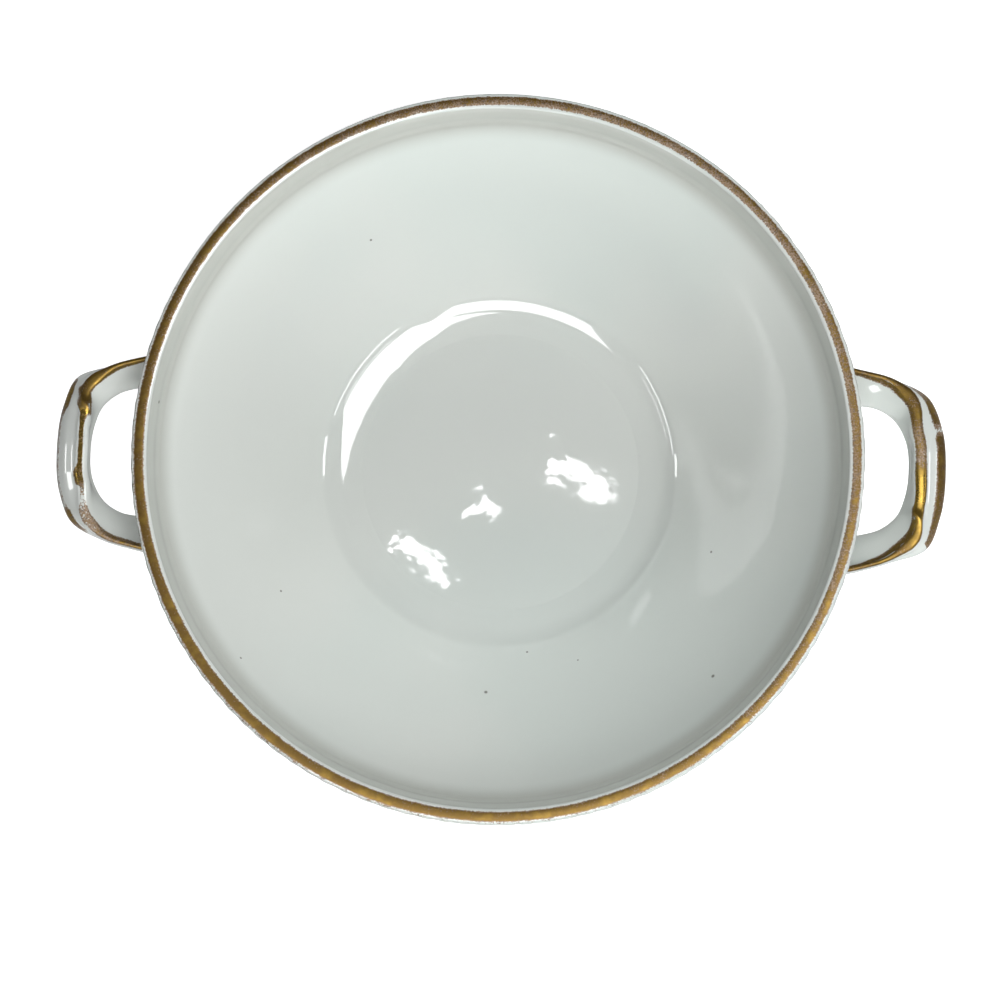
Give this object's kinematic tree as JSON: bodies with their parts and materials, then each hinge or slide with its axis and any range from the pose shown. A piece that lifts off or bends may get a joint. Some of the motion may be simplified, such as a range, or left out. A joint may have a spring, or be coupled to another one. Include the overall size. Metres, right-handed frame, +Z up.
{
  "type": "serving bowl",
  "caption": "Round deep porcelain serving bowl with an upright collar inside its rim, loop handles on opposite sides, a foot ring and worn gilding along its edges.",
  "frame": {"origin": "centre of the circle that the foot ring stands on, on the table's surface", "axes": "+Z up along the bowl's axis, +X through the middle of the right handle, with the other handle on -X"},
  "size_m": [0.2702, 0.2166, 0.0715],
  "materials": {
    "porcelain": "glossy white glaze with a faint grey-green cast, small kiln specks and slight waves",
    "rim_gilding": "rubbed brown gold, mottled, with white porcelain showing through",
    "handle_gilding": "bright gold, worn away in patches"
  },
  "bodies": {
    "root": {"bowl_body": "porcelain", "foot_ring": "porcelain", "handle_left": "porcelain", "handle_right": "porcelain", "rim_gilding": "rim_gilding", "handle_left_ridge_gilding": "handle_gilding", "handle_left_edge_gilding": "handle_gilding", "handle_right_ridge_gilding": "handle_gilding", "handle_right_edge_gilding": "handle_gilding"}
  },
  "joints": []
}
